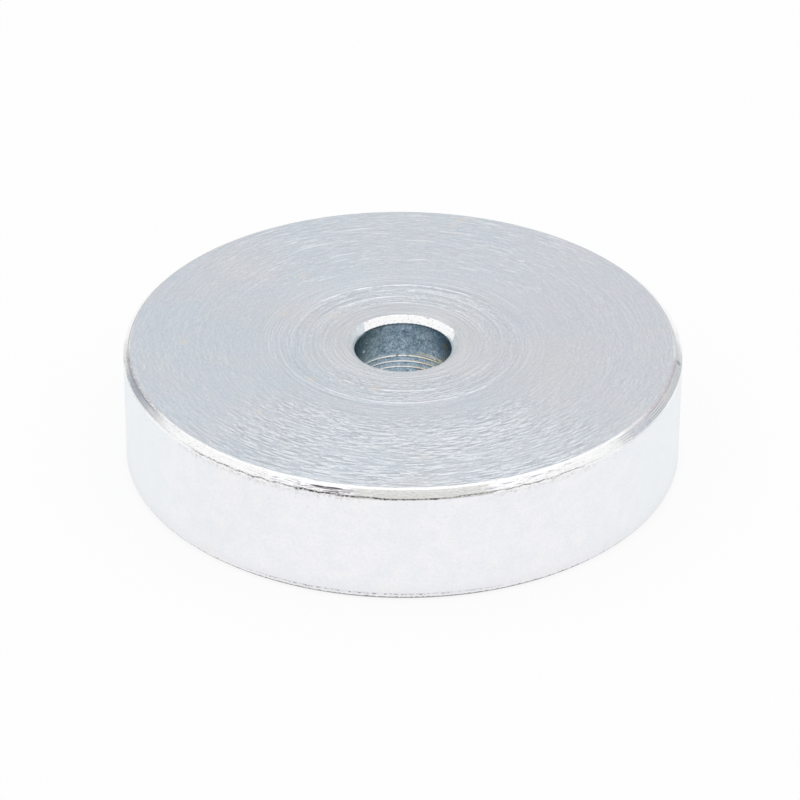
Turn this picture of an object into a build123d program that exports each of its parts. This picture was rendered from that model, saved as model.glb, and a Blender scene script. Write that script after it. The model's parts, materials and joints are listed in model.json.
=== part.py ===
from build123d import *
import math
import os

# Pot magnet with a plain through bore: a turned steel pot, a ring magnet seated on its floor, and casting
# resin in the gap around the magnet. Millimetres, +Z up. The origin is on the axis, in the plane of the
# pot's rim, which is the holding face. The pot stands on that face with its closed back on top.

# Steel pot
POT_DIAMETER = 32.0
POT_HEIGHT = 7.0
RIM_WALL = 2.75
BACK_CHAMFER = 0.45
RIM_EDGE_BREAK = 0.2
RECESS_CORNER_FLAT = 0.3

# Bore for an M5 screw, through the base of the pot
BORE_DIAMETER = 5.6
BORE_CHAMFER = 0.4
BORE_EXIT_CHAMFER = 0.15

# Fine rings that the boring tool left near the inner end of the bore
GROOVE_COUNT = 3
GROOVE_PITCH = 0.37
GROOVE_DEPTH = 0.08
LAST_GROOVE_TO_FLOOR = 0.63

# Ring magnet, wide enough inside to take the screw's head
MAGNET_THICKNESS = 3.0
MAGNET_BORE = 10.0
MAGNET_CHAMFER = 0.25

# Fits of the magnet in the pot
MAGNET_SETBACK = 0.1
RESIN_GAP = 0.75
RESIN_DISH = 0.1

POT_RADIUS = POT_DIAMETER / 2
BORE_RADIUS = BORE_DIAMETER / 2
RECESS_RADIUS = POT_RADIUS - RIM_WALL
RECESS_DEPTH = MAGNET_SETBACK + MAGNET_THICKNESS
MAGNET_RADIUS = RECESS_RADIUS - RESIN_GAP
RESIN_LEVEL = MAGNET_SETBACK + MAGNET_CHAMFER


def disc(radius, bottom, top):
    """Round bar on the Z axis between two heights."""
    on_base = (Align.CENTER, Align.CENTER, Align.MIN)
    return Pos(0, 0, bottom) * Cylinder(radius, top - bottom, align=on_base)


def circle_edge(solid, radius, height):
    """The circular edge of a turned solid at this radius and height."""

    def matches(edge):
        same_radius = math.isclose(edge.radius, radius, abs_tol=1e-6)
        return same_radius and math.isclose(edge.arc_center.Z, height, abs_tol=1e-6)

    return solid.edges().filter_by(GeomType.CIRCLE).filter_by(matches)


def recess():
    """Space turned out of the pot for the magnet, with a small flat across its inner corner."""
    space = disc(RECESS_RADIUS, 0, RECESS_DEPTH)
    return chamfer(circle_edge(space, RECESS_RADIUS, RECESS_DEPTH), RECESS_CORNER_FLAT)


def bore_groove(height):
    """V-shaped ring that is cut into the bore wall at this height."""
    section = Plane.XZ * Polygon(
        (BORE_RADIUS, height - GROOVE_DEPTH),
        (BORE_RADIUS + GROOVE_DEPTH, height),
        (BORE_RADIUS, height + GROOVE_DEPTH),
        align=None,
    )
    return revolve(section, Axis.Z)


def steel_pot():
    """Turned pot: recess below, closed back with its chamfered bore above."""
    pot = disc(POT_RADIUS, 0, POT_HEIGHT) - recess() - disc(BORE_RADIUS, RECESS_DEPTH, POT_HEIGHT)
    pot = chamfer(circle_edge(pot, POT_RADIUS, POT_HEIGHT), BACK_CHAMFER)
    pot = chamfer(circle_edge(pot, BORE_RADIUS, POT_HEIGHT), BORE_CHAMFER)
    pot = chamfer(circle_edge(pot, BORE_RADIUS, RECESS_DEPTH), BORE_EXIT_CHAMFER)
    pot = chamfer(circle_edge(pot, POT_RADIUS, 0), RIM_EDGE_BREAK)
    pot = chamfer(circle_edge(pot, RECESS_RADIUS, 0), RIM_EDGE_BREAK)
    for index in range(GROOVE_COUNT):
        pot -= bore_groove(RECESS_DEPTH + LAST_GROOVE_TO_FLOOR + index * GROOVE_PITCH)
    return pot


def magnet_blank():
    """Outside form of the magnet, seated on the floor of the recess, still without its hole."""
    blank = disc(MAGNET_RADIUS, MAGNET_SETBACK, RECESS_DEPTH)
    ends = [circle_edge(blank, MAGNET_RADIUS, height)[0] for height in (MAGNET_SETBACK, RECESS_DEPTH)]
    return chamfer(ends, MAGNET_CHAMFER)


def magnet_ring():
    """Ring magnet with all four edges chamfered."""
    hole_radius = MAGNET_BORE / 2
    ring = magnet_blank() - disc(hole_radius, MAGNET_SETBACK, RECESS_DEPTH)
    ends = [circle_edge(ring, hole_radius, height)[0] for height in (MAGNET_SETBACK, RECESS_DEPTH)]
    return chamfer(ends, MAGNET_CHAMFER)


def gap_resin():
    """Resin cast round the magnet. It fills the gap up to its level, where it is slightly dished."""
    cast = recess() - magnet_blank() - disc(RECESS_RADIUS, 0, RESIN_LEVEL)
    half_gap = RESIN_GAP / 2
    dish_radius = (half_gap**2 + RESIN_DISH**2) / (2 * RESIN_DISH)
    dish = Torus(MAGNET_RADIUS + half_gap, dish_radius)
    return cast - Pos(0, 0, RESIN_LEVEL + RESIN_DISH - dish_radius) * dish


NODES = {
    "steel_pot": steel_pot(),
    "magnet_ring": magnet_ring(),
    "gap_resin": gap_resin(),
}

os.makedirs("parts", exist_ok=True)
for name, shape in NODES.items():
    shape.label = name
    export_step(shape, f"parts/{name}.step")
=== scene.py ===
import json
import math

import bpy
from mathutils import Matrix, Vector, noise

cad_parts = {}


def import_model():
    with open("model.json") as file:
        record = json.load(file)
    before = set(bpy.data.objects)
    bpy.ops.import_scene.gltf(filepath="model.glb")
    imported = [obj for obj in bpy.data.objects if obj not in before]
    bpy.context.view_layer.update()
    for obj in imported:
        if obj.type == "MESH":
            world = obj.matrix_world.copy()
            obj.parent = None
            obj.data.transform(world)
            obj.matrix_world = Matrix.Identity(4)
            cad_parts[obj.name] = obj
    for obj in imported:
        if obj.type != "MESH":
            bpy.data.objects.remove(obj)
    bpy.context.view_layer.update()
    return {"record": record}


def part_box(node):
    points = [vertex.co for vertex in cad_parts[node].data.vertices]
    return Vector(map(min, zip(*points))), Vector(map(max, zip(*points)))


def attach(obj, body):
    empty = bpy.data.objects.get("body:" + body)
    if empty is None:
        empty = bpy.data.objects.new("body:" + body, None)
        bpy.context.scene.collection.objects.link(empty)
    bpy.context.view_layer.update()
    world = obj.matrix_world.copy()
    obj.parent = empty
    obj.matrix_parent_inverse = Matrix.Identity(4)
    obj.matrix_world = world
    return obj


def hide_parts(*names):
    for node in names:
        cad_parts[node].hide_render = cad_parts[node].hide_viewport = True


# A zinc-plated pot magnet, back up, on a white sweep.
# Lengths are in millimetres and heights are above the rim's plane, unless a name or comment says otherwise.
MM = 0.001

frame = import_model()
BODY = "root"
MOUNTS = {mount["name"]: mount["dims"] for mount in frame["record"]["mounts"]}


def node_size(name):
    """(radius, lowest z, highest z) of a round CAD node, in millimetres."""
    low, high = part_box(name)
    return high.x / MM, low.z / MM, high.z / MM


# Sizes that the frame gives
POT_RADIUS, RIM_Z, BACK_Z = node_size("steel_pot")
MAGNET_RADIUS, MAGNET_FACE_Z, FLOOR_Z = node_size("magnet_ring")
RECESS_RADIUS, RESIN_LEVEL_Z, _ = node_size("gap_resin")
BORE_RADIUS = MOUNTS["screw_bore"]["r_mm"]
MAGNET_HOLE_RADIUS = MOUNTS["head_recess"]["r_mm"]

# Sizes that repeat the part's source
BACK_CHAMFER = 0.45
RIM_EDGE_BREAK = 0.2
RECESS_CORNER_FLAT = 0.3
BORE_CHAMFER = 0.4
BORE_EXIT_CHAMFER = 0.15
GROOVE_COUNT = 3
GROOVE_PITCH = 0.37
GROOVE_DEPTH = 0.08
LAST_GROOVE_TO_FLOOR = 0.63
MAGNET_CHAMFER = 0.25
RESIN_DISH = 0.1

# Heights and radii that follow from them
MOUTH_RADIUS = BORE_RADIUS + BORE_CHAMFER
GROOVE_HEIGHTS = [FLOOR_Z + LAST_GROOVE_TO_FLOOR + index * GROOVE_PITCH for index in range(GROOVE_COUNT)]

# The chamfer round the back is cut in two passes, a narrow, flatter crest above the main bevel. It meets the
# wall a little above the CAD chamfer's foot, and lower in one stretch, as (middle, half width) in degrees.
CREST_WIDTH, CREST_DROP = 0.11, 0.04
FOOT_RISE = 0.09
CHAMFER_FOOT_Z = BACK_Z - BACK_CHAMFER + FOOT_RISE
LOW_FOOT, LOW_FOOT_DROP = [(273.0, 6.0)], 0.06

# How far the two chamfers of the back were cut off the axis, and how ragged their edges are
EDGE_OFF_CENTRE, EDGE_RAGGED = (-0.065, 0.0), 0.035
MOUTH_OFF_CENTRE, MOUTH_RAGGED = (0.0, -0.11), 0.055
EDGE_NOISE = 3.0  # cells a millimetre along an edge
OFF_CENTRE_DEPTH, RAGGED_DEPTH = BACK_CHAMFER - 0.1, CREST_DROP - 0.005  # where they have faded out
FOOT_TILT = 0.02  # how much lower the outer chamfer's foot is toward +X

# Ridges that the facing tool left round the bore: radius, width of the flank inside and outside, height, and
# the stretches where it stands whole
OUTER_RIDGE_WHOLE = [(78.0, 21.0), (112.0, 3.0), (129.0, 5.0), (273.0, 24.0), (236.0, 6.0), (309.0, 5.0)]
FACE_RIDGES = [
    (4.62, 0.10, 0.10, 0.018, [(94.0, 7.0)]),
    (5.36, 0.11, 0.11, 0.026, [(114.0, 18.0), (227.0, 9.0), (274.0, 15.0)]),
    (5.88, 0.10, 0.10, 0.018, [(47.0, 6.0), (124.0, 5.0)]),
    (6.11, 0.11, 0.45, 0.024, [(74.0, 13.0), (101.0, 6.0), (276.0, 30.0)]),
    (6.66, 0.10, 0.11, 0.030, OUTER_RIDGE_WHOLE),
]
WHOLE_HEIGHT, WORN_HEIGHT = 0.85, 0.18  # mean shares of a ridge's height that still stand

# The face between them lies just below the rest of the back, with a slow fall at both ends
RINGS_BASE_Z = BACK_Z - 0.030
RINGS_INSIDE, RINGS_OUTSIDE = 3.65, 8.6
FALL_INSIDE, FALL_OUTSIDE = 0.8, 1.3

# How finely the meshes are divided: segments round the axis, and longest spans of the turned section
CHAMFER_SEGMENTS, RINGS_SEGMENTS, POT_SEGMENTS, BORE_SEGMENTS = 1440, 960, 480, 240
MAGNET_SEGMENTS = 360
WALL_SPAN, FACE_SPAN, BORE_SPAN, GROOVE_SPAN = 0.4, 0.6, 0.3, 0.06

# Rings this far outside a zone's end keep the flat beside it flat
GUARD = 0.02

# How far the section's corners are rounded off
POT_CORNER, MAGNET_CORNER, CHAMFER_CORNER, MOUTH_CORNER, RIDGE_CORNER = 0.05, 0.08, 0.03, 0.02, 0.01


# ---------------------------------------------------------------- meshes


def stretch(points, step):
    """The polyline through these (radius, z) points, divided into spans no longer than step."""
    made = [points[0]]
    for (r0, z0), (r1, z1) in zip(points, points[1:]):
        spans = max(1, math.ceil(math.hypot(r1 - r0, z1 - z0) / step))
        made += [(r0 + (r1 - r0) * i / spans, z0 + (z1 - z0) * i / spans) for i in range(1, spans + 1)]
    return made


def softened(corners, radius, steps=3):
    """The polyline through (radius, z) corners, with each inner corner rounded off."""
    made = [corners[0]]
    for before, corner, after in zip(corners, corners[1:], corners[2:]):
        here = Vector(corner)
        inward, outward = Vector(before) - here, Vector(after) - here
        reach = min(radius, inward.length * 0.45, outward.length * 0.45)
        start, end = here + inward.normalized() * reach, here + outward.normalized() * reach
        for i in range(steps + 1):
            t = i / steps
            made.append(tuple(start * (1 - t) ** 2 + here * 2 * t * (1 - t) + end * t * t))
    return made + [corners[-1]]


def turned_vertices(rings):
    """The vertices of every ring, in metres, and the index at which each ring starts."""
    vertices, starts = [], []
    for segments, radius, z, offset, _ in rings:
        starts.append(len(vertices))
        for i in range(segments):
            angle = 2 * math.pi * i / segments
            dr, dz = offset(radius, z, angle) if offset else (0.0, 0.0)
            at = (radius + dr) * MM
            vertices.append((at * math.cos(angle), at * math.sin(angle), (z + dz) * MM))
    return vertices, starts


def stitched(start_a, count_a, start_b, count_b):
    """The faces between two rings. Where the counts differ, each takes up several vertices of the finer."""
    coarse = min(count_a, count_b)
    step_a, step_b = count_a // coarse, count_b // coarse
    faces = []
    for i in range(coarse):
        side_a = [start_a + (i * step_a + k) % count_a for k in range(step_a + 1)]
        side_b = [start_b + (i * step_b + k) % count_b for k in range(step_b + 1)]
        faces.append(side_a + side_b[::-1])
    return faces


def lathe(name, zones):
    """A turned mesh of one closed section, made of zones that follow each other. Each zone is (material,
    angular segments, [(radius, z), ...], offset function or None)."""
    materials = list(dict.fromkeys(material for material, *_ in zones))
    rings = []
    for material, segments, points, offset in zones:
        rings += [(segments, radius, z, offset, materials.index(material)) for radius, z in points]
    vertices, starts = turned_vertices(rings)
    faces, slots = [], []
    for a in range(len(rings)):
        b = (a + 1) % len(rings)
        between = stitched(starts[a], rings[a][0], starts[b], rings[b][0])
        faces += between
        slots += [rings[b][-1]] * len(between)
    mesh = bpy.data.meshes.new(name)
    mesh.from_pydata(vertices, [], faces)
    for material in materials:
        mesh.materials.append(material)
    mesh.polygons.foreach_set("material_index", slots)
    mesh.polygons.foreach_set("use_smooth", [True] * len(faces))
    mesh.update()
    piece = bpy.data.objects.new(name, mesh)
    bpy.context.scene.collection.objects.link(piece)
    return piece


# ---------------------------------------------------------------- shader helpers


BRIGHT, POLISH_AND_HIGHLIGHT = (0.98, 0.98, 0.98), (0.985, 0.985, 0.985)
ROW_STEP = 2.71  # noise cells from one row to the next, so that each row has a pattern of its own


class Value:
    """A number that the shader works out. Arithmetic on it adds the nodes that do the sum."""

    def __init__(self, graph, socket):
        self.graph, self.socket = graph, socket

    def __add__(self, other):
        return self.graph.math("ADD", self, other)

    def __radd__(self, other):
        return self.graph.math("ADD", other, self)

    def __sub__(self, other):
        return self.graph.math("SUBTRACT", self, other)

    def __rsub__(self, other):
        return self.graph.math("SUBTRACT", other, self)

    def __mul__(self, other):
        return self.graph.math("MULTIPLY", self, other)

    def __truediv__(self, other):
        return self.graph.math("DIVIDE", self, other)

    def __abs__(self):
        return self.graph.math("ABSOLUTE", self)

    def clamped(self, gain):
        """This value times a gain, held between 0 and 1."""
        return self.graph.math("MULTIPLY", self, gain, clamp=True)

    def scaled(self, low, high, to_low=0.0, to_high=1.0):
        """This value, from low to high, mapped smoothly to another range and held at its ends."""
        sockets = {"Value": self, "From Min": low, "From Max": high, "To Min": to_low, "To Max": to_high}
        return self.graph.number("ShaderNodeMapRange", sockets, "Result", interpolation_type="SMOOTHSTEP")


class Graph:
    """Short calls for building the nodes of one material or world."""

    def __init__(self, owner):
        owner.use_nodes = True
        self.owner = owner
        self.tree = owner.node_tree
        self.tree.nodes.clear()

    def put(self, socket, value):
        """A number, colour, socket or value into this input."""
        if isinstance(value, Value):
            value = value.socket
        if isinstance(value, bpy.types.NodeSocket):
            self.tree.links.new(value, socket)
        else:
            socket.default_value = value

    def add(self, kind, sockets=(), **settings):
        """A new node with these settings, and these numbers, sockets or values in its own sockets."""
        made = self.tree.nodes.new(kind)
        for key, value in settings.items():
            setattr(made, key, value)
        for key, value in dict(sockets).items():
            self.put(made.inputs[key], value)
        return made

    def number(self, kind, sockets, output=0, **settings):
        """One output of a new node, as a value."""
        return Value(self, self.add(kind, sockets, **settings).outputs[output])

    def math(self, operation, a, b=0.0, clamp=False):
        return self.number("ShaderNodeMath", {0: a, 1: b}, operation=operation, use_clamp=clamp)

    def largest(self, *values):
        """The largest of these numbers, sockets or values."""
        total = values[0]
        for value in values[1:]:
            total = self.math("MAXIMUM", total, value)
        return total

    def vector(self, x, y, z):
        return self.add("ShaderNodeCombineXYZ", {"X": x, "Y": y, "Z": z}).outputs[0]

    def split(self, vector):
        """The x, y and z of a vector, as values."""
        parts = self.add("ShaderNodeSeparateXYZ", {"Vector": vector}).outputs
        return [Value(self, parts[axis]) for axis in "XYZ"]

    def noise_texture(self, vector, scale=1.0, detail=2.0, roughness=0.5, distortion=0.0):
        sockets = {"Vector": vector, "Scale": scale, "Detail": detail}
        sockets |= {"Roughness": roughness, "Distortion": distortion}
        return self.add("ShaderNodeTexNoise", sockets).outputs

    def noise(self, vector, **options):
        return Value(self, self.noise_texture(vector, **options)["Fac"])

    def blend(self, factor, a, b, kind="MIX"):
        """Colour b over colour a. A colour is a socket, or red, green and blue."""
        made = self.add("ShaderNodeMix", data_type="RGBA", blend_type=kind)
        self.put(made.inputs["Factor"], factor)
        self.put(made.inputs["A"], (*a, 1.0) if isinstance(a, tuple) else a)
        self.put(made.inputs["B"], (*b, 1.0) if isinstance(b, tuple) else b)
        return made.outputs["Result"]


class Surface(Graph):
    """One material of the part, in the object's own millimetres. Its colour is painted in layers."""

    def __init__(self, name):
        super().__init__(bpy.data.materials.new(name))
        place = self.add("ShaderNodeTexCoord").outputs["Object"]
        self.x, self.y, self.z = (metres * (1 / MM) for metres in self.split(place))
        self.place = self.vector(self.x, self.y, self.z)
        self.radius = self.math("SQRT", self.x * self.x + self.y * self.y)
        self.cosine, self.sine = self.x / self.radius, self.y / self.radius
        self.color = None

    def paint(self, share, tint):
        """A layer of this colour over what is painted so far, where its share is above 0."""
        self.color = self.blend(share, self.color, tint)

    def shimmer(self, share, **options):
        """A slight drift of hue, as a passivated zinc plate has."""
        hues = self.noise_texture(self.place, **options)["Color"]
        self.color = self.blend(share, self.color, hues, kind="OVERLAY")

    def round_noise(self, angular, across, **options):
        """Noise in cells that follow the axis round: so many cells a radian, and across as already scaled."""
        vector = self.vector(self.cosine * angular, self.sine * angular, across)
        return self.noise(vector, **options)

    def toward(self, angle):
        """The cosine of the angle between a point and this direction round the axis, in radians."""
        return self.cosine * math.cos(angle) + self.sine * math.sin(angle)

    def along(self, stretches, feather=3.0):
        """1 inside any of these stretches, each (middle, half width) in degrees anticlockwise from +X seen
        from above, falling to 0 over the feather."""
        total = 0.0
        for middle, half in stretches:
            low, high = math.cos(math.radians(half + feather)), math.cos(math.radians(half))
            total = self.largest(self.toward(math.radians(middle)).scaled(low, high), total)
        return total

    def marks_round(self, depth, marks):
        """1 inside any of these long marks: (angle, half its length in degrees, depth, half its width)."""
        rough = (self.round_noise(50.0, depth * 30.0, detail=3.0) - 0.5) * 2.0
        total = 0.0
        for angle, half, at, width in marks:
            aside = (1.0 - self.toward(math.radians(angle))) * (2 / math.radians(half) ** 2)
            off = (depth - at) / width
            total = self.largest((aside + off * off + rough).scaled(1.5, 0.5), total)
        return total

    def spots(self, marks, soft=0.5):
        """1 inside any of these ragged spots, (x, y, z, size), falling to 0 over a soft share of the size."""
        ragged = (self.noise(self.place, scale=4.0, detail=2.0) - 0.5) * 0.5
        total = 0.0
        for x, y, z, size in marks:
            ends = {0: self.place, 1: (x, y, z)}
            gap = self.number("ShaderNodeVectorMath", ends, "Value", operation="DISTANCE")
            gap += ragged * (size * 3)
            total = self.largest(gap.scaled(size, size * (1 - soft)), total)
        return total

    def relief(self, *layers, normal=None):
        """The normal of a surface with these (pattern, height in millimetres) on it."""
        height = sum(pattern * size for pattern, size in layers) * MM
        made = self.add("ShaderNodeBump", {"Height": height, "Strength": 1.0, "Distance": 1.0})
        if normal:
            self.put(made.inputs["Normal"], normal)
        return made.outputs["Normal"]

    def leaning(self, toward_x, toward_y, toward_z=0.0):
        """The mesh's normal, leaned by these slopes."""
        away = self.vector(toward_x, toward_y, toward_z)
        turned = self.add("ShaderNodeVectorTransform", {"Vector": away})
        turned.convert_from, turned.convert_to = "OBJECT", "WORLD"
        own = self.add("ShaderNodeNewGeometry").outputs["Normal"]
        both = self.add("ShaderNodeVectorMath", {0: own, 1: turned.outputs[0]}, operation="ADD")
        return self.add("ShaderNodeVectorMath", {0: both.outputs[0]}, operation="NORMALIZE").outputs[0]

    def finish(self, **sockets):
        """The material, with its colour and these sockets of its shader, such as Metallic."""
        settings = {key.replace("_", " "): item for key, item in sockets.items()}
        shader = self.add("ShaderNodeBsdfPrincipled", {"Base Color": self.color, **settings})
        self.add("ShaderNodeOutputMaterial", {"Surface": shader.outputs[0]})
        return self.owner


def inside(angle, stretches, feather=3.0):
    """The share that Surface.along gives, for one angle in radians, for the meshes."""
    total = 0.0
    for middle, half in stretches:
        off = abs((math.degrees(angle) - middle + 180) % 360 - 180)
        total = max(total, min(1.0, max(0.0, (half + feather - off) / feather)))
    return total


def spot(angle, radius, z, size):
    """(x, y, z, size) of a spot at this angle in degrees."""
    angle = math.radians(angle)
    return radius * math.cos(angle), radius * math.sin(angle), z, size


def on_back(angle, radius, size):
    """A spot on the back."""
    return spot(angle, radius, BACK_Z, size)


def on_wall(angle, z, size):
    """A spot on the wall of the bore."""
    return spot(angle, BORE_RADIUS, z, size)


# ---------------------------------------------------------------- zinc on the back face


# Marks on the back: spots, and arcs as (angle, half its length in degrees, radius, half its width)
FACE_STAINS = [on_back(77, 15.0, 0.45), on_back(78, 14.3, 0.35), on_back(219, 6.65, 0.50)]
FACE_STAINS += [on_back(128, 9.6, 0.40), on_back(253, 5.4, 0.45), on_back(318, 5.0, 0.40)]
FACE_STAINS += [on_back(144, 5.0, 0.55), on_back(263, 11.6, 0.20), on_back(181, 12.6, 0.50)]
FACE_STAINS += [on_back(224, 11.2, 0.35), on_back(276, 12.4, 0.35), on_back(156, 7.6, 0.40)]
FACE_ARCS = [(85.0, 5.0, 12.00, 0.05), (115.5, 6.0, 12.40, 0.07), (84.0, 3.5, 9.70, 0.06)]
FACE_ARCS += [(110.0, 5.0, 10.80, 0.06), (103.0, 5.0, 13.60, 0.06), (118.0, 4.0, 13.60, 0.05)]
FACE_ARCS += [(112.0, 4.0, 10.20, 0.05), (96.0, 3.0, 12.90, 0.05), (122.0, 4.0, 8.60, 0.05)]
WARM_PATCHES = [on_back(140, 13.0, 4.5), on_back(155, 6.5, 3.0), on_back(345, 9.0, 4.5)]
WARM_PATCHES += [on_back(272, 15.0, 2.0)]


class Face(Surface):
    """The faced back. Its tool rows wander a little across the radius."""

    def __init__(self):
        super().__init__("zinc_face")
        self.wander = self.round_noise(1.5, self.radius * 0.8, detail=1.0)

    def rows(self, width, per_radian, seed):
        """(lean of the surface, place across the rows): narrow rows that each have a pattern of their own."""
        place = self.radius / width + self.wander + seed
        row = self.math("FLOOR", place) * ROW_STEP
        lean = self.round_noise(per_radian, row, detail=3.0, roughness=0.65)
        return lean.scaled(0.3, 0.7, -0.25, 0.25), place

    def cut_lines(self, width, per_radian, seed):
        """Rows with a light and a dark side."""
        lean, place = self.rows(width, per_radian, seed)
        side = self.math("SINE", place * (2 * math.pi))
        return side.scaled(-0.3, 0.3, -1.0, 1.0) * lean

    def cuts(self):
        """The short cuts of the facing tool, which come and go in gusts."""
        thin = self.rows(0.13, 14.0, 13.3)[0] + self.rows(0.10, 20.0, 17.6)[0]
        both = thin * 0.8 + self.cut_lines(0.25, 13.0, 3.3) * 1.8
        gusts = self.round_noise(4.0, self.radius * 0.6, detail=2.0)
        return both * gusts.scaled(0.35, 0.65, 0.7, 1.2)

    def cut_zone(self):
        """Where the cuts show: in the outer part, and in a band round the bore."""
        outer = self.radius.scaled(7.6, 9.8, 0.25, 1.0)
        band = abs(self.radius - 5.6).scaled(1.2, 0.95)
        band *= self.sine.scaled(-0.3, 0.5, 0.55, 1.5)
        return self.largest(outer, band)

    def slope(self, cuts, zone, arcs):
        """How far the surface leans away from the axis."""
        cloud = self.round_noise(16.0, self.radius * 5.0, detail=3.0, roughness=0.65)
        chatter = cuts * 0.03 + (cloud - 0.5) * 0.02
        chatter *= zone * self.sine.scaled(-0.65, -0.98, 0.45, 1.0)
        rings = self.round_noise(0.9, self.radius * 9.0, detail=2.0, roughness=0.6)
        rings = (rings - 0.5) * self.radius.scaled(6.8, 8.0, 1.0, 0.05) * 0.45
        fine = self.round_noise(12.0, self.radius * 16.0, detail=2.0)
        fine = (fine - 0.5) * 0.05
        front = self.radius.scaled(8.0, 10.5) * self.sine.scaled(-0.55, -0.95, 0.0, 0.035)
        front *= self.cosine.scaled(-0.60, -0.35, 0.2, 1.0)
        behind = self.sine.scaled(0.2, 0.8, 0.0, -0.025)
        return chatter + rings + fine + front + behind + arcs * -0.06

    def burnished(self, slope, dashes):
        """Where highlights are painted into the zinc's colour: on steep flanks, in some dashes and on the
        ridges round the bore.
        """
        total = abs(slope).scaled(0.06, 0.26, 0.0, 0.5)
        total = self.largest(total, dashes.scaled(0.64, 0.74, 0.0, 0.7))
        patchy = self.round_noise(3.0, self.radius * 2.0, detail=2.0)
        patchy = patchy.scaled(0.35, 0.65, 0.3, 0.8)
        for ridge, width, _, _, whole in FACE_RIDGES:
            near = abs(self.radius - ridge).scaled(width, width * 0.5)
            total = self.largest(total, near * self.along(whole, 6.0) * patchy)
        return total

    def lines(self, cuts, zone):
        """The tool's lines painted into the colour: painted highlights above 0 and painted shade below,
        strongest at the front.
        """
        strength = self.sine.scaled(-0.5, -0.95, 0.15, 0.9) + self.sine.scaled(0.5, 0.95, 0.0, 0.18)
        turned = self.round_noise(1.3, self.radius * 4.5, detail=4.0, roughness=0.75)
        turned = (turned - 0.5) * self.radius.scaled(8.5, 6.8, 0.2, 0.55)
        sparse = self.rows(0.13, 7.0, 71.0)[0].scaled(0.12, 0.25)
        sparse *= self.sine.scaled(0.3, 0.85, 0.0, 0.18) * zone
        long_lines = self.cut_lines(0.19, 2.0, 91.0) * self.radius.scaled(9.5, 7.0, 0.05, 0.5)
        long_lines *= self.cosine.scaled(-0.5, 0.7, 1.0, 0.65)
        return cuts * zone * strength + turned + sparse + long_lines


def zinc_face():
    """Facing marks of a lathe tool under zinc: chatter outside, rings near the bore, and a few stains.
    Highlights and shade of the marks are painted into the colour.
    """
    zinc = Face()
    cuts, zone = zinc.cuts(), zinc.cut_zone()
    arcs = zinc.marks_round(zinc.radius, FACE_ARCS)
    slope = zinc.slope(cuts, zone, arcs)
    grain = zinc.noise(zinc.place, scale=6.0, detail=3.0)
    leaning = zinc.leaning(zinc.cosine * slope, zinc.sine * slope)
    normal = zinc.relief((grain, 0.002), normal=leaning)

    patch = zinc.noise(zinc.place, scale=0.22, detail=3.0).scaled(0.38, 0.62)
    zinc.color = zinc.blend(patch, (0.760, 0.825, 0.900), (0.785, 0.830, 0.890))
    zinc.paint(zinc.cosine.scaled(0.1, 0.9, 0.0, 0.5), (0.820, 0.825, 0.870))
    zinc.paint(zinc.radius.scaled(6.5, 3.2, 0.0, 0.5), (0.83, 0.81, 0.81))
    zinc.shimmer(0.2, scale=0.8, detail=2.0, roughness=0.6)
    zinc.paint(zinc.spots(WARM_PATCHES, 0.9) * 0.4, (0.87, 0.83, 0.84))
    speck = zinc.round_noise(7.0, zinc.radius * 2.2, detail=3.0, roughness=0.6)
    zinc.paint(speck.scaled(0.60, 0.78, 0.0, 0.3), (0.83, 0.79, 0.77))
    dashes = zinc.round_noise(45.0, zinc.radius * 11.0, detail=2.0, roughness=0.7)
    dust = zinc.noise(zinc.place, scale=11.0, detail=1.0)
    light = dashes * 0.5 + dust * 0.5
    zinc.paint(light.scaled(0.35, 0.65, 0.45, 0.0), (0.60, 0.62, 0.66))
    # Painted highlights on steep flanks, in some dashes and on the ridges round the bore
    zinc.paint(zinc.burnished(slope, dashes), (0.90, 0.905, 0.92))
    lines = zinc.lines(cuts, zone)
    # The tool's lines: painted highlights, then painted shade
    zinc.paint(lines.clamped(3.5), (0.93, 0.96, 1.0))
    zinc.paint(lines.clamped(-2.4), (0.58, 0.62, 0.67))
    # Painted highlights along the arcs
    zinc.paint(arcs * 0.5, (0.92, 0.96, 1.0))
    stained = zinc.spots(FACE_STAINS, 0.9) * dust.scaled(0.3, 0.6, 0.35, 0.75)
    zinc.paint(stained, (0.87, 0.83, 0.775))
    tangent = zinc.add("ShaderNodeTangent", direction_type="RADIAL", axis="Z").outputs[0]
    return zinc.finish(Metallic=1.0, Roughness=0.18, Anisotropic=0.3, Tangent=tangent, Normal=normal)


# ---------------------------------------------------------------- zinc on the chamfer round the back


# Stretches of the chamfer, as (middle, half width) in degrees
# Stretches where the painted shade at the chamfer's foot is strongest, then fainter
DARK_FOOT = [(269.0, 7.0), (256.0, 6.0)]
FAINT_DARK_FOOT = [(285.0, 12.0), (238.0, 11.0)]
DIRTY = [(233.0, 9.0), (251.0, 6.0), (300.0, 8.0)]
TINTED = [(274.0, 3.0)]
SCORED = [(255.0, 4.5)]
SCRATCHED = [(246.0, 6.0), (293.0, 12.0)]
DULLED = [(338.0, 15.0)]
DULLEST = [(328.0, 5.0)]
SHADED = [(183.5, 3.0), (197.0, 4.0)]
BROWNED = [(198.0, 9.0)]
PINKISH = [(341.0, 9.0)]
CHATTERED = [(320.9, 0.8), (334.0, 2.8), (204.5, 1.5)]
HIGHLIGHTED = [(359.0, 3.0)]
CHATTER_PITCH = 0.085
FIBRE_PITCH = 0.035

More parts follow.
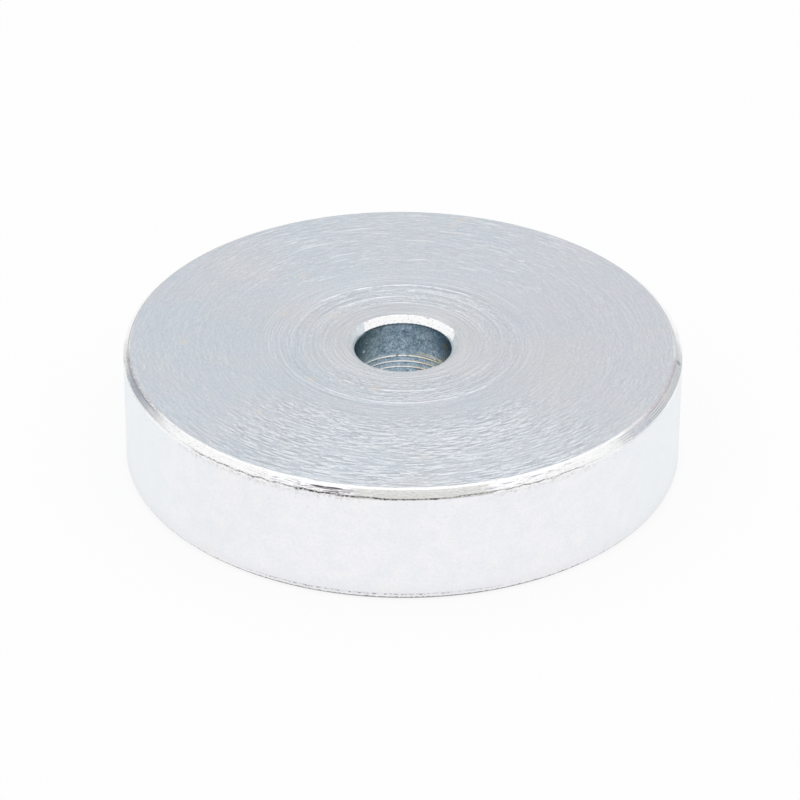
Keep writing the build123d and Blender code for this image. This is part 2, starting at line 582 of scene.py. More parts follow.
# Marks on the chamfer: (angle, half its length in degrees, depth below the back, half its width)
SCORES = [(253.2, 1.7, 0.165, 0.026), (256.5, 1.9, 0.165, 0.034), (255.4, 1.7, 0.225, 0.014)]
SCORES += [(258.5, 2.0, 0.270, 0.012), (250.0, 1.2, 0.260, 0.010), (253.4, 1.6, 0.200, 0.016)]
SCORES += [(256.2, 1.6, 0.310, 0.014)]
FAINT_SCORES = [(291.0, 1.6, 0.170, 0.014), (297.5, 1.5, 0.150, 0.016), (300.8, 0.8, 0.150, 0.012)]
FAINT_SCORES += [(287.5, 1.3, 0.270, 0.014), (244.2, 0.6, 0.190, 0.016), (247.0, 1.0, 0.180, 0.010)]
FAINT_SCORES += [(293.5, 0.9, 0.290, 0.014)]
GLINTS = [(322.2, 0.7, 0.340, 0.022), (327.6, 0.5, 0.330, 0.022)]
NICKS = [(353.2, 0.8, 0.200, 0.100)]


def foot_line(zinc):
    """The ragged dark line of painted shade where the chamfer's foot meets the wall, strongest at the front,
    from 0 to 1.
    """
    ragged = zinc.round_noise(60.0, zinc.z * 8.0, detail=3.0, roughness=0.7)
    thick = (ragged - 0.5) * 0.24 + 0.088
    thick += zinc.along(SCORED) * 0.03
    wave = zinc.round_noise(26.0, 7.0, detail=3.0, roughness=0.6) - 0.5
    wave *= zinc.along(DIRTY, 6.0).scaled(0.0, 1.0, 0.05, 0.30)
    below = CHAMFER_FOOT_Z - 0.01 - zinc.z + wave
    below -= zinc.along(LOW_FOOT) * LOW_FOOT_DROP
    within = (thick - below).scaled(-0.01, 0.015)
    patchy = zinc.round_noise(9.0, 5.0, detail=2.0).scaled(0.38, 0.6, 0.05, 0.45)
    patchy *= zinc.sine.scaled(-0.66, -0.80, 0.12, 1.0)
    strength = zinc.largest(patchy, zinc.along(DARK_FOOT, 4.0))
    strength = zinc.largest(strength, zinc.along(FAINT_DARK_FOOT, 5.0) * 0.75)
    teeth = zinc.round_noise(110.0, 2.0, detail=2.0).scaled(0.35, 0.6, 0.4, 1.0)
    return below.scaled(-0.01, 0.01) * within * (strength * teeth)


def paint_cuts(zinc, fibres, mottling, bevel, rough_depth):
    """Scores and scratches along the cut, its duller stretches, stretches of painted shade and one of painted
    highlight.
    """
    tinted = (zinc.along(TINTED, 16.0) + fibres * 0.9).scaled(0.75, 1.05)
    zinc.paint(tinted * bevel, zinc.blend(mottling, (0.63, 0.63, 0.61), (0.75, 0.75, 0.74)))
    scored = fibres.scaled(0.46, 0.54, 0.0, 0.65) * zinc.along(SCORED, 3.0)
    zinc.paint(scored * rough_depth.scaled(0.12, 0.16), (0.36, 0.34, 0.37))
    scratched = fibres.scaled(0.52, 0.62, 0.0, 0.5) * zinc.along(SCRATCHED)
    zinc.paint(scratched * bevel, (0.50, 0.48, 0.53))
    zinc.paint(zinc.along(DULLED, 2.0), zinc.blend(bevel, (0.84, 0.82, 0.85), zinc.color))
    dullest = zinc.along(DULLEST, 4.0) * bevel
    zinc.paint(dullest, zinc.blend(mottling, (0.68, 0.71, 0.78), (0.82, 0.84, 0.87)))
    # Painted shade in two stretches
    shaded = zinc.along(SHADED) * bevel
    zinc.paint(shaded, zinc.blend(mottling, (0.72, 0.72, 0.74), (0.88, 0.88, 0.88)))
    # A stretch painted brighter: a painted highlight
    zinc.paint(zinc.along(HIGHLIGHTED), POLISH_AND_HIGHLIGHT)


def paint_chatter_light_and_shade(zinc, depth, bevel):
    """Waves across the cut, painted as shade in the hollows and as highlights on the crowns."""
    waves = zinc.math("SINE", depth * (2 * math.pi / CHATTER_PITCH))
    chattered = zinc.along(CHATTERED, 1.5) * bevel
    # Painted shade in the hollows, then painted highlights on the crowns
    zinc.paint(waves.scaled(-0.5, 0.5) * chattered * 0.45, (0.50, 0.54, 0.60))
    zinc.paint(waves.scaled(0.4, -0.6) * chattered * 0.9, BRIGHT)


def zinc_chamfer():
    """Bright turned chamfer, scored in places along the cut."""
    zinc = Surface("zinc_chamfer")
    streak = zinc.round_noise(12.0, zinc.z * 16.0, detail=4.0, roughness=0.6)
    nicks = zinc.round_noise(60.0, zinc.z * 14.0, detail=2.0)
    normal = zinc.relief((streak, 0.007), (nicks, 0.005))
    specks = zinc.round_noise(70.0, zinc.z * 26.0, detail=2.0, roughness=0.7)
    fibre = zinc.math("FLOOR", zinc.z / FIBRE_PITCH) * ROW_STEP
    fibres = zinc.round_noise(18.0, fibre, detail=3.0, roughness=0.7)
    ragged = zinc.round_noise(55.0, 1.0, detail=3.0, roughness=0.7) - 0.5
    depth = BACK_Z - zinc.z
    rough_depth = depth + ragged * 0.07
    bevel = rough_depth.scaled(0.055, 0.085)

    zinc.color = zinc.blend(streak.scaled(0.35, 0.65), (0.92, 0.925, 0.93), POLISH_AND_HIGHLIGHT)
    zinc.paint(specks.scaled(0.54, 0.70, 0.0, 0.65), (0.69, 0.67, 0.67))
    paint_cuts(zinc, fibres, specks.scaled(0.4, 0.6), bevel, rough_depth)
    paint_chatter_light_and_shade(zinc, depth, bevel)
    brown = rough_depth.scaled(0.16, 0.06) * zinc.along(BROWNED, 6.0)
    zinc.paint(specks.scaled(0.35, 0.55, 0.1, 0.8) * brown, (0.56, 0.52, 0.54))
    pink = rough_depth.scaled(0.13, 0.06) * zinc.along(PINKISH, 4.0)
    zinc.paint(specks.scaled(0.35, 0.55, 0.1, 0.6) * pink, (0.62, 0.56, 0.59))
    zinc.paint(zinc.marks_round(depth, FAINT_SCORES), (0.42, 0.40, 0.47))
    zinc.paint(zinc.marks_round(depth, SCORES), (0.13, 0.11, 0.13))
    zinc.paint(zinc.marks_round(depth, NICKS) * 0.6, (0.40, 0.38, 0.39))
    zinc.paint(zinc.marks_round(depth, GLINTS), BRIGHT)
    # Painted shade along the crease at the chamfer's foot
    zinc.paint(foot_line(zinc), (0.10, 0.09, 0.09))
    return zinc.finish(Metallic=1.0, Roughness=0.16, Normal=normal)


# ---------------------------------------------------------------- zinc on the wall


# The stretch where a dark broken line shows above the edge at the rim
LINE_ABOVE_RIM = [(264.0, 10.0)]


def paint_rim_edge(zinc, specks):
    """The edge at the rim, painted dark as shade, with a dark broken line above it at the front."""
    rise = zinc.z - RIM_Z + (specks - 0.5) * 0.25
    outside = zinc.radius.scaled(POT_RADIUS - 0.26, POT_RADIUS - 0.20)
    # Painted shade on the edge at the rim
    zinc.paint(rise.scaled(0.24, 0.19, 0.0, 0.92) * outside, (0.20, 0.185, 0.195))
    line = abs(rise - 0.40).scaled(0.06, 0.03)
    line *= specks.scaled(0.45, 0.6, 0.1, 1.0) * zinc.along(LINE_ABOVE_RIM, 20.0)
    zinc.paint(line, (0.42, 0.39, 0.38))


def zinc_side():
    """Smooth turned wall under zinc, faintly mottled, with specks and dirt near its edges, painted shade
    toward the rim and at the chamfer's foot, and a painted cyan reflection at its left and right.
    """
    zinc = Surface("zinc_side")
    mottle = zinc.noise(zinc.place, scale=0.9, detail=5.0, roughness=0.6)
    rings = zinc.round_noise(3.0, zinc.z * 14.0, detail=2.0)
    normal = zinc.relief((mottle, 0.004), (rings, 0.0008))
    zinc.color = zinc.blend(mottle.scaled(0.35, 0.65), (0.89, 0.905, 0.945), (0.945, 0.94, 0.965))
    zinc.shimmer(0.10, scale=0.7, detail=4.0, roughness=0.7)
    grain = zinc.noise(zinc.place, scale=6.5, detail=3.0, roughness=0.75)
    zinc.paint(grain.scaled(0.35, 0.60, 0.22, 0.0), (0.76, 0.77, 0.81))
    zinc.paint(grain.scaled(0.50, 0.68, 0.0, 0.3), (0.97, 0.96, 0.96))
    # Painted reflection: a cyan tint toward the wall's left and right
    zinc.paint(abs(zinc.cosine).scaled(0.6, 1.0, 0.0, 0.6), (0.84, 0.90, 0.93))

    up, down = zinc.z - RIM_Z, BACK_Z - zinc.z
    specks = zinc.noise(zinc.place, scale=5.0, detail=3.0, roughness=0.7)
    ends = zinc.largest(down.scaled(2.8, 0.8, 0.35, 1.0), up.scaled(1.2, 0.3, 0.35, 1.0))
    zinc.paint(specks.scaled(0.60, 0.72, 0.0, 0.6) * ends, (0.66, 0.66, 0.68))
    # Painted shade, darker toward the rim
    zinc.paint(up.scaled(1.2, 0.2, 0.0, 0.35), (0.80, 0.80, 0.82))
    dirt = down.scaled(0.95, 0.4) * specks.scaled(0.46, 0.60, 0.0, 0.75)
    zinc.paint(dirt * zinc.along(DIRTY, 6.0), (0.58, 0.54, 0.50))
    paint_rim_edge(zinc, specks)
    # Painted shade along the crease at the chamfer's foot
    zinc.paint(foot_line(zinc), (0.16, 0.15, 0.15))
    return zinc.finish(Metallic=1.0, Roughness=0.28, Normal=normal)


# ---------------------------------------------------------------- zinc in the bore and round its mouth


# Small pits on the bore's chamfer
MOUTH_TICKS = [on_back(176, 3.12, 0.06), on_back(186, 3.06, 0.07), on_back(197, 2.98, 0.06)]
MOUTH_TICKS += [on_back(133, 3.15, 0.07)]


def zinc_mouth():
    """The bore's chamfer: bright along its far side, painted darker as shade elsewhere, with a few pits."""
    zinc = Surface("zinc_mouth")
    streak = zinc.round_noise(6.0, zinc.z * 12.0, detail=4.0, roughness=0.6)
    flecks = zinc.noise(zinc.place, scale=9.0, detail=3.0, roughness=0.7)
    torn = (flecks - 0.5) * 0.4
    inward = MOUTH_RADIUS - zinc.radius
    left_end = zinc.cosine + torn * 0.3 + inward * 0.2
    right_end = zinc.sine + torn * 0.5 + inward * 0.5
    shaded_part = zinc.largest(left_end.scaled(-0.70, -0.715), right_end.scaled(0.37, 0.35))

    # The surface leans up where it is painted as shade, and to the front at the bright part's right end
    rolled = zinc.largest(zinc.cosine.scaled(-0.80, -0.94, 0.4, 4.0), zinc.sine.scaled(0.25, 0.05, 0.5, 4.0))
    aside = zinc.cosine.scaled(0.78, 0.92, 0.0, -0.45) * (1.0 - shaded_part)
    normal = zinc.relief((streak, 0.004), normal=zinc.leaning(0.0, aside, rolled * shaded_part))

    zinc.color = zinc.blend(streak.scaled(0.35, 0.65), (0.94, 0.94, 0.94), BRIGHT)
    zinc.paint(flecks.scaled(0.60, 0.66, 0.0, 0.8), (0.50, 0.50, 0.50))
    # Painted shade away from the bright far side
    zinc.paint(shaded_part, zinc.blend(flecks.scaled(0.40, 0.65), (0.64, 0.70, 0.745), (0.82, 0.84, 0.86)))
    teeth = zinc.round_noise(40.0, 3.0, detail=3.0, roughness=0.7)
    below = BACK_Z - BORE_CHAMFER - zinc.z + teeth * 0.14
    zinc.paint(below.scaled(0.04, 0.07), (0.24, 0.31, 0.37))
    line = inward.scaled(0.28, 0.34) * flecks.scaled(0.38, 0.52, 0.1, 0.9)
    line *= abs(zinc.cosine).scaled(0.86, 0.95)
    zinc.paint(line, (0.40, 0.49, 0.52))
    zinc.paint(zinc.spots(MOUTH_TICKS), (0.42, 0.42, 0.35))
    return zinc.finish(Metallic=1.0, Roughness=0.2, Normal=normal)


# Marks in the bore: rust, and two bright flecks
BORE_STAINS = [on_wall(29, 5.9, 0.35), on_wall(23, 5.3, 0.35), on_wall(33, 4.9, 0.25)]
BORE_STAINS += [on_wall(97, 4.43, 0.10), on_wall(84, 4.45, 0.13), on_wall(69, 3.52, 0.20)]
BORE_STAINS += [on_wall(73, 3.50, 0.12), on_wall(45, 4.55, 0.15)]
BORE_FLECKS = [on_wall(144, 5.34, 0.12), on_wall(139, 5.8, 0.06)]

# Fine turns that the boring tool left just above the grooves, drawn only as painted highlights
FINE_TURNS_FROM = GROOVE_HEIGHTS[-1] + 0.10
FINE_TURNS_TO = GROOVE_HEIGHTS[-1] + 0.28
FINE_TURN_HALF_PITCH = 0.05


def groove_flanks(zinc):
    """1 on the lower flanks of the bore's grooves, which catch the light; highlights are painted there."""
    total = 0.0
    for height in GROOVE_HEIGHTS:
        off = abs(zinc.z - (height - GROOVE_DEPTH / 2))
        total = zinc.largest(total, off.scaled(GROOVE_DEPTH * 0.80, GROOVE_DEPTH * 0.55))
    return total


def fine_turns(zinc):
    """1 on the painted highlights of the fine turns above the grooves, at the right."""
    off = zinc.math("PINGPONG", zinc.z - FINE_TURNS_FROM, FINE_TURN_HALF_PITCH)
    turns = off.scaled(0.02, 0.03) * zinc.z.scaled(FINE_TURNS_TO + 0.03, FINE_TURNS_TO - 0.03)
    turns *= zinc.math("GREATER_THAN", zinc.z, FINE_TURNS_FROM)
    return turns * zinc.cosine.scaled(0.1, 0.5)


def zinc_bore():
    """Bored wall with painted shade toward its left and right, darker and greener toward the left, and
    painted highlights on the flanks of its grooves.
    """
    zinc = Surface("zinc_bore")
    streak = zinc.round_noise(8.0, zinc.z * 9.0, detail=4.0, roughness=0.65)
    pits = zinc.noise(zinc.place, scale=8.0, detail=4.0, roughness=0.75)
    normal = zinc.relief((streak, 0.003), (pits, 0.003))
    cloud = zinc.noise(zinc.place, scale=1.3, detail=4.0, roughness=0.6)
    flat = zinc.vector(zinc.x, zinc.y, zinc.z * 1.5)
    clots = zinc.noise(flat, scale=2.8, detail=5.0, roughness=0.75, distortion=0.8)
    tall = zinc.vector(zinc.x, zinc.y, zinc.z * 0.6)
    dust = zinc.noise(tall, scale=13.0, detail=2.0, roughness=0.7)

    zinc.color = zinc.blend(cloud.scaled(0.38, 0.62), (0.27, 0.40, 0.51), (0.44, 0.59, 0.73))
    zinc.paint(clots.scaled(0.36, 0.50, 0.75, 0.0), (0.12, 0.20, 0.27))
    zinc.paint(clots.scaled(0.50, 0.62, 0.0, 0.75), (0.66, 0.80, 0.92))
    zinc.paint(pits.scaled(0.36, 0.58, 0.7, 0.0), (0.11, 0.18, 0.25))
    zinc.paint(dust.scaled(0.50, 0.72, 0.0, 0.8), (0.64, 0.76, 0.86))
    # Painted shade toward the bore's left and right
    zinc.paint(abs(zinc.cosine).scaled(0.6, 0.97, 0.0, 0.75), (0.09, 0.15, 0.19))
    # Darker and greener toward the left
    zinc.paint(zinc.cosine.scaled(-0.3, -0.9, 0.0, 0.35), (0.19, 0.27, 0.24))

    # Painted highlights on the grooves' lower flanks
    flanks = groove_flanks(zinc) * dust.scaled(0.35, 0.55, 0.7, 1.0)
    zinc.paint(flanks, zinc.blend(zinc.cosine.scaled(0.0, 0.6), (1.0, 1.0, 1.0), (0.98, 0.89, 0.68)))
    # Painted highlights of the fine turns
    zinc.paint(fine_turns(zinc), (0.80, 0.76, 0.62))
    rust = zinc.blend(zinc.cosine.scaled(0.6, 0.85), (0.22, 0.19, 0.10), (0.34, 0.29, 0.17))
    zinc.paint(zinc.spots(BORE_STAINS, 0.8) * 0.85, rust)
    zinc.paint(zinc.spots(BORE_FLECKS), BRIGHT)
    return zinc.finish(Metallic=1.0, Roughness=0.33, Normal=normal)


# ---------------------------------------------------------------- magnet and resin


def nickel_plate():
    """Satin nickel over the pressed and ground grain of a sintered magnet."""
    nickel = Surface("nickel_plate")
    grain = nickel.noise(nickel.place, scale=4.0, detail=4.0, roughness=0.65)
    ground = nickel.vector(nickel.x * 0.4, nickel.y * 9.0, nickel.z)
    normal = nickel.relief((grain, 0.003), (nickel.noise(ground, detail=3.0), 0.002))
    nickel.color = nickel.blend(grain.scaled(0.35, 0.65), (0.665, 0.645, 0.61), (0.71, 0.69, 0.655))
    return nickel.finish(Metallic=1.0, Roughness=0.24, Normal=normal)


def casting_resin():
    """Dark resin that set with a soft skin and some dust in it."""
    resin = Surface("casting_resin")
    skin = resin.noise(resin.place, scale=0.8, detail=3.0)
    dust = resin.noise(resin.place, scale=9.0, detail=2.0)
    normal = resin.relief((skin, 0.03), (dust, 0.003))
    resin.color = resin.blend(dust.scaled(0.4, 0.7), (0.018, 0.019, 0.022), (0.035, 0.035, 0.038))
    return resin.finish(Roughness=0.32, Normal=normal)


# ---------------------------------------------------------------- pieces


def uneven(off_centre, size):
    """An offset for a chamfer: its upper edge off centre and this ragged, and the outer one's foot uneven."""

    def offset(radius, z, angle):
        depth = BACK_Z - z
        share = max(0.0, 1 - depth / OFF_CENTRE_DEPTH)
        edge = max(0.0, 1 - depth / RAGGED_DEPTH)
        x, y = math.cos(angle) * radius * EDGE_NOISE, math.sin(angle) * radius * EDGE_NOISE
        ragged = noise.noise((x, y, 4.0)) + 0.7 * noise.noise((x * 2.3, y * 2.3, 9.0))
        moved = off_centre[0] * math.cos(angle) + off_centre[1] * math.sin(angle)
        drop = 0.0
        if radius > MAGNET_RADIUS and 0.25 < depth < BACK_CHAMFER:
            drop = LOW_FOOT_DROP * inside(angle, LOW_FOOT) + FOOT_TILT * math.cos(angle)
        return moved * share + size * ragged * edge, -drop

    return offset


def worn_ring(radius, z, angle):
    """How far a point of a ridge is worn down: a share of its height that changes round the ring."""
    ridge, *_, stretches = min(FACE_RIDGES, key=lambda one: abs(one[0] - radius))
    broad = 0.5 * noise.noise((3.0 * math.cos(angle), 3.0 * math.sin(angle), ridge * 5.3))
    nicks = 0.5 * noise.noise((16 * math.cos(angle), 16 * math.sin(angle), ridge * 7.1))
    whole = inside(angle, stretches, 1.5)
    kept = whole * (WHOLE_HEIGHT + broad + nicks) + (1 - whole) * (WORN_HEIGHT + nicks)
    return 0.0, -(z - RINGS_BASE_Z) * (1 - min(1.0, max(0.0, kept)))


def rim_and_wall():
    """(radius, z) from the flat of the rim, round its outer edge and up the wall."""
    edge = [(RECESS_RADIUS + RIM_EDGE_BREAK + 0.3, RIM_Z), (POT_RADIUS - RIM_EDGE_BREAK, RIM_Z)]
    edge += [(POT_RADIUS, RIM_Z + RIM_EDGE_BREAK), (POT_RADIUS, RIM_Z + 3.0)]
    wall = stretch([(POT_RADIUS, RIM_Z + 3.2), (POT_RADIUS, BACK_Z - BACK_CHAMFER - 0.1)], WALL_SPAN)
    return softened(edge, POT_CORNER) + wall


def edge_of_back():
    """(radius, z) over the chamfer round the back: its foot, the knee between its passes, and its crest."""
    crest = (POT_RADIUS - BACK_CHAMFER, BACK_Z)
    knee = (crest[0] + CREST_WIDTH, BACK_Z - CREST_DROP)
    foot = (POT_RADIUS, CHAMFER_FOOT_Z)
    start = (POT_RADIUS, CHAMFER_FOOT_Z - 0.12)
    bevel = softened([start, foot, knee, crest], CHAMFER_CORNER)
    return [(start[0], start[1] - GUARD)] + bevel + [(crest[0] - GUARD, BACK_Z)]


def face_rings():
    """(radius, z) round the bore, from outside in: a face just below its ridges, each with two flanks."""
    points = [(RINGS_OUTSIDE - FALL_OUTSIDE, RINGS_BASE_Z)]
    for radius, inner, outer, height, _ in reversed(FACE_RIDGES):
        outer = min(outer, (points[-1][0] - radius) * 0.8)
        corners = [(radius + outer + GUARD, RINGS_BASE_Z), (radius + outer, RINGS_BASE_Z)]
        corners += [(radius, RINGS_BASE_Z + height), (radius - inner, RINGS_BASE_Z)]
        corners.append((radius - inner - GUARD, RINGS_BASE_Z))
        points += softened(corners, RIDGE_CORNER, steps=1)
    return points + [(RINGS_INSIDE + FALL_INSIDE, RINGS_BASE_Z)]


def mouth():
    """(radius, z) over the bore's chamfer, from its edge on the back."""
    below_edge = (MOUTH_RADIUS - CREST_DROP, BACK_Z - CREST_DROP)
    foot = (BORE_RADIUS, BACK_Z - BORE_CHAMFER)
    bevel = [(below_edge[0] - 0.03, below_edge[1] - 0.03), foot, (foot[0], foot[1] - 0.1)]
    return [(MOUTH_RADIUS, BACK_Z), below_edge] + softened(bevel, MOUTH_CORNER)


def bore_wall():
    """(radius, z) down the bore: plain, then grooved."""
    top = BACK_Z - BORE_CHAMFER - 0.15
    above_grooves = GROOVE_HEIGHTS[-1] + GROOVE_DEPTH + 0.1
    plain = stretch([(BORE_RADIUS, top), (BORE_RADIUS, above_grooves)], BORE_SPAN)
    grooved = [(BORE_RADIUS, above_grooves)]
    for height in reversed(GROOVE_HEIGHTS):
        grooved += [(BORE_RADIUS, height + GROOVE_DEPTH), (BORE_RADIUS + GROOVE_DEPTH, height)]
        grooved.append((BORE_RADIUS, height - GROOVE_DEPTH))
    grooved.append((BORE_RADIUS, FLOOR_Z + BORE_EXIT_CHAMFER))
    return plain[:-1] + stretch(grooved, GROOVE_SPAN)


def recess():
    """(radius, z) from the bore's end, over the floor of the recess and down its wall to the rim."""
    rim_inside = RECESS_RADIUS + RIM_EDGE_BREAK
    corners = [(BORE_RADIUS, FLOOR_Z + BORE_EXIT_CHAMFER), (BORE_RADIUS + BORE_EXIT_CHAMFER, FLOOR_Z)]
    corners += [(RECESS_RADIUS - RECESS_CORNER_FLAT, FLOOR_Z), (RECESS_RADIUS, FLOOR_Z - RECESS_CORNER_FLAT)]
    corners += [(RECESS_RADIUS, RIM_Z + RIM_EDGE_BREAK), (rim_inside, RIM_Z), (rim_inside + 0.2, RIM_Z)]
    return softened(corners, POT_CORNER)[1:]


def steel_pot():
    """The turned pot, as one closed section that starts at the rim and runs up the outside."""
    face, chamfer, side = zinc_face(), zinc_chamfer(), zinc_side()
    mouth_zinc, bore = zinc_mouth(), zinc_bore()
    outer_face = stretch([(POT_RADIUS - BACK_CHAMFER - 0.25, BACK_Z), (RINGS_OUTSIDE, BACK_Z)], FACE_SPAN)
    inner_face = [(RINGS_INSIDE, BACK_Z), (MOUTH_RADIUS + 0.35, BACK_Z)]
    beside_mouth = [(MOUTH_RADIUS + GUARD, BACK_Z)]
    edge_offset = uneven(EDGE_OFF_CENTRE, EDGE_RAGGED)
    mouth_offset = uneven(MOUTH_OFF_CENTRE, MOUTH_RAGGED)
    return lathe(
        "pot_turned",
        [
            (side, POT_SEGMENTS, rim_and_wall(), None),
            (chamfer, CHAMFER_SEGMENTS, edge_of_back(), edge_offset),
            (face, POT_SEGMENTS, outer_face, None),
            (face, RINGS_SEGMENTS, face_rings(), worn_ring),
            (face, POT_SEGMENTS, inner_face, None),
            (face, POT_SEGMENTS, beside_mouth, mouth_offset),
            (mouth_zinc, POT_SEGMENTS, mouth(), mouth_offset),
            (bore, BORE_SEGMENTS, bore_wall() + recess(), None),
        ],
    )


def magnet_ring():
    """The plated ring magnet."""
    corners = [
        (MAGNET_RADIUS - MAGNET_CHAMFER - 0.5, MAGNET_FACE_Z),
        (MAGNET_RADIUS - MAGNET_CHAMFER, MAGNET_FACE_Z),
        (MAGNET_RADIUS, MAGNET_FACE_Z + MAGNET_CHAMFER),
        (MAGNET_RADIUS, FLOOR_Z - MAGNET_CHAMFER),
        (MAGNET_RADIUS - MAGNET_CHAMFER, FLOOR_Z),
        (MAGNET_HOLE_RADIUS + MAGNET_CHAMFER, FLOOR_Z),
        (MAGNET_HOLE_RADIUS, FLOOR_Z - MAGNET_CHAMFER),
        (MAGNET_HOLE_RADIUS, MAGNET_FACE_Z + MAGNET_CHAMFER),
        (MAGNET_HOLE_RADIUS + MAGNET_CHAMFER, MAGNET_FACE_Z),
    ]
    section = softened(corners + corners[:1], MAGNET_CORNER)[:-1]
    return lathe("magnet_plated", [(nickel_plate(), MAGNET_SEGMENTS, section, None)])


def gap_resin():
    """The resin in the gap, its skin dished between the magnet and the pot."""
    half, spans = (RECESS_RADIUS - MAGNET_RADIUS) / 2, 12
    section = []
    for i in range(spans + 1):
        t = 2 * i / spans - 1
        section.append((MAGNET_RADIUS + half * (1 + t), RESIN_LEVEL_Z + RESIN_DISH * (1 - t * t)))
    section += [(RECESS_RADIUS, FLOOR_Z - RECESS_CORNER_FLAT), (RECESS_RADIUS - RECESS_CORNER_FLAT, FLOOR_Z)]
    section += [(MAGNET_RADIUS - MAGNET_CHAMFER, FLOOR_Z), (MAGNET_RADIUS, FLOOR_Z - MAGNET_CHAMFER)]
    return lathe("resin_cast", [(casting_resin(), MAGNET_SEGMENTS, section, None)])


for make, node in ((steel_pot, "steel_pot"), (magnet_ring, "magnet_ring"), (gap_resin, "gap_resin")):
    piece = make()
    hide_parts(node)
    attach(piece, BODY)


# ---------------------------------------------------------------- stage


FLOOR_HALF_SIZE = 1.5  # metres
FLOOR_PAINT = (0.93, 0.93, 0.93, 1)
FLOOR_WHITE_SHARE = 0.88


def shows_background(graph):
    """1 for the rays that show the background: from the camera, or by gloss or transmission."""
    path = graph.add("ShaderNodeLightPath").outputs
    return graph.largest(path["Is Camera Ray"], path["Is Glossy Ray"], path["Is Transmission Ray"])


def floor():
    """White sweep that keeps a soft share of the object's shadow. It isn't seen from below."""
    sweep = Graph(bpy.data.materials.new("sweep"))
    diffuse = sweep.add("ShaderNodeBsdfDiffuse", {"Color": FLOOR_PAINT})
    white = sweep.add("ShaderNodeEmission", {"Color": (1, 1, 1, 1), "Strength": 1.0})
    share = shows_background(sweep) * FLOOR_WHITE_SHARE
    mixed = sweep.add("ShaderNodeMixShader", {0: share, 1: diffuse.outputs[0], 2: white.outputs[0]})
    clear = sweep.add("ShaderNodeBsdfTransparent")
    under = sweep.add("ShaderNodeNewGeometry").outputs["Backfacing"]
    both = sweep.add("ShaderNodeMixShader", {0: under, 1: mixed.outputs[0], 2: clear.outputs[0]})
    sweep.add("ShaderNodeOutputMaterial", {"Surface": both.outputs[0]})
    mesh = bpy.data.meshes.new("sweep")
    half = FLOOR_HALF_SIZE
    corners = [(-half, -half, 0), (half, -half, 0), (half, half, 0), (-half, half, 0)]
    mesh.from_pydata(corners, [], [(0, 1, 2, 3)])
    mesh.materials.append(sweep.owner)
    plane = bpy.data.objects.new("sweep", mesh)
    bpy.context.scene.collection.objects.link(plane)


def softbox(name, place, target, width, height, radiance):
    """Area light that looks at target, in metres. Its strength is the brightness of its surface."""
    data = bpy.data.lights.new(name, "AREA")
    data.shape = "RECTANGLE"
    data.size, data.size_y = width, height
    data.energy = radiance * math.pi * width * height
    lamp = bpy.data.objects.new(name, data)
    lamp.location = place
    lamp.rotation_mode = "QUATERNION"
    lamp.rotation_quaternion = (Vector(target) - Vector(place)).to_track_quat("-Z", "Y")
    lamp.visible_camera = False
    bpy.context.scene.collection.objects.link(lamp)


# The studio's colours
WHITE_CEILING = (1.0, 1.0, 1.0)
WALL_FOOT, WALL_HEAD = (0.60, 0.615, 0.635), (0.79, 0.79, 0.79)
CORNER_GREY, SKIRTING_GREY = (0.46, 0.50, 0.56), (0.42, 0.42, 0.42)

# Where its parts begin and are whole, in degrees up
CEILING_RISE, FRONT_RISE, WALL_RISE = (32, 46), (11, 22), (15, 32)

# Dark patches: degrees round from the front, to the right, degrees up, and how far they reach
DARK_CORNER = {"turn": 180 + 49, "rise": 14, "inner": 4, "outer": 14}
DARK_SKIRTING = {"turn": 180 + 30, "rise": 2, "inner": 4, "outer": 14}


def direction(turn, rise):
    """The vector that points this way, from degrees round and degrees up."""
    turn, rise = math.radians(turn), math.radians(rise)
    return (math.sin(turn) * math.cos(rise), -math.cos(turn) * math.cos(rise), math.sin(rise))


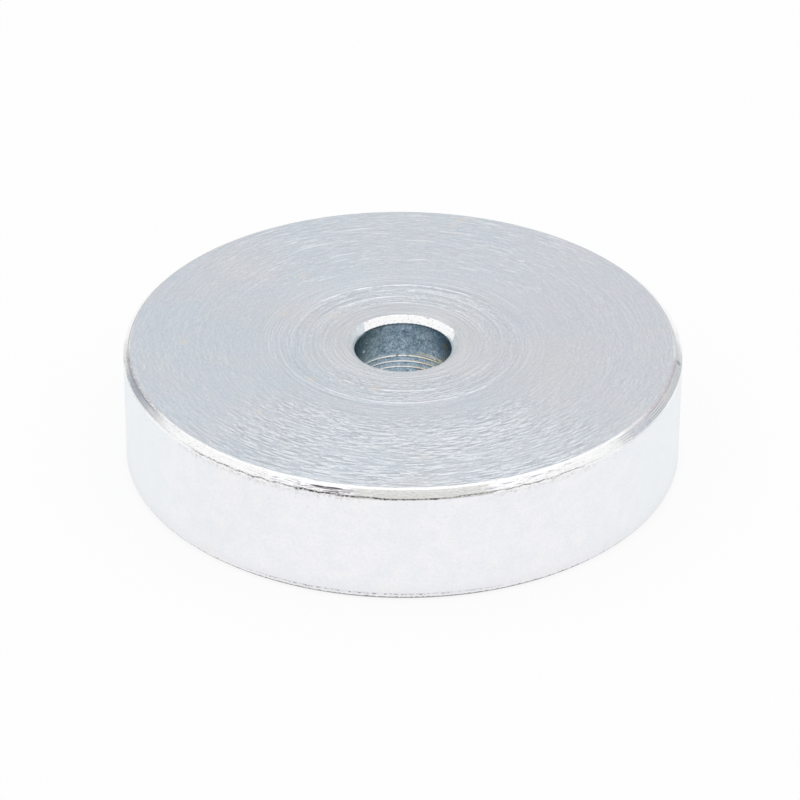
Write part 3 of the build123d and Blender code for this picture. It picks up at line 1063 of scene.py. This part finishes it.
def world():
    """Studio: white below the horizon, a grey wall behind and a white ceiling that reaches down in front."""
    sky = Graph(bpy.data.worlds.new("studio"))
    bpy.context.scene.world = sky.owner
    ray = sky.add("ShaderNodeTexCoord").outputs["Generated"]
    x, y, z = sky.split(ray)

    def above(low, high):
        """From 0 at low to 1 at high, in degrees up."""
        return z.scaled(math.sin(math.radians(low)), math.sin(math.radians(high)))

    def patch(turn, rise, inner, outer):
        """1 within inner degrees of a direction, falling to 0 at outer degrees."""
        ends = {0: ray, 1: direction(turn, rise)}
        dot = sky.number("ShaderNodeVectorMath", ends, "Value", operation="DOT_PRODUCT")
        return dot.scaled(math.cos(math.radians(outer)), math.cos(math.radians(inner)))

    front = (y + x * 0.1).scaled(0.31, 0.20)
    ground = z.scaled(0.0, -0.03)
    bright = sky.largest(above(*CEILING_RISE), front * above(*FRONT_RISE), ground)
    wall = sky.blend(above(*WALL_RISE), WALL_FOOT, WALL_HEAD)
    color = sky.blend(bright, wall, WHITE_CEILING)
    color = sky.blend(patch(**DARK_SKIRTING), color, SKIRTING_GREY)
    color = sky.blend(patch(**DARK_CORNER), color, CORNER_GREY)
    background = sky.add("ShaderNodeBackground", {"Color": color})
    sky.add("ShaderNodeOutputWorld", {"Surface": background.outputs[0]})


# The camera, as fitted to the outline of the pot: it looks down at the middle of the pot's height.
CAMERA_ELEVATION = math.radians(31.14)
CAMERA_DISTANCE = 14.267 * POT_RADIUS * MM
CAMERA_ROLL = math.radians(0.348)
SENSOR_WIDTH = 36.0
LENS_PIXELS = 3956.8
PICTURE_PIXELS = 800
POT_CENTRE_PIXEL = (402.69, 394.11)


def camera():
    """The photo's camera, shifted so that the pot's centre falls on its pixel."""
    data = bpy.data.cameras.new("camera")
    data.sensor_width = SENSOR_WIDTH
    data.lens = LENS_PIXELS / PICTURE_PIXELS * SENSOR_WIDTH
    data.shift_x = (PICTURE_PIXELS / 2 - POT_CENTRE_PIXEL[0]) / PICTURE_PIXELS
    data.shift_y = (POT_CENTRE_PIXEL[1] - PICTURE_PIXELS / 2) / PICTURE_PIXELS
    data.clip_start, data.clip_end = 0.01, 10.0
    made = bpy.data.objects.new("camera", data)
    bpy.context.scene.collection.objects.link(made)
    back = Vector((0, -math.cos(CAMERA_ELEVATION), math.sin(CAMERA_ELEVATION)))
    centre = Vector((0, 0, (RIM_Z + BACK_Z) / 2 * MM))
    turn = (-back).to_track_quat("-Z", "Y").to_matrix() @ Matrix.Rotation(CAMERA_ROLL, 3, "Z")
    made.matrix_world = Matrix.Translation(centre + back * CAMERA_DISTANCE) @ turn.to_4x4()
    bpy.context.scene.camera = made


floor()
world()
softbox("overhead", place=(0.0, 0.0, 0.55), target=(0, 0, 0), width=0.80, height=0.70, radiance=0.14)
camera()
bpy.context.scene.view_settings.view_transform = "Standard"
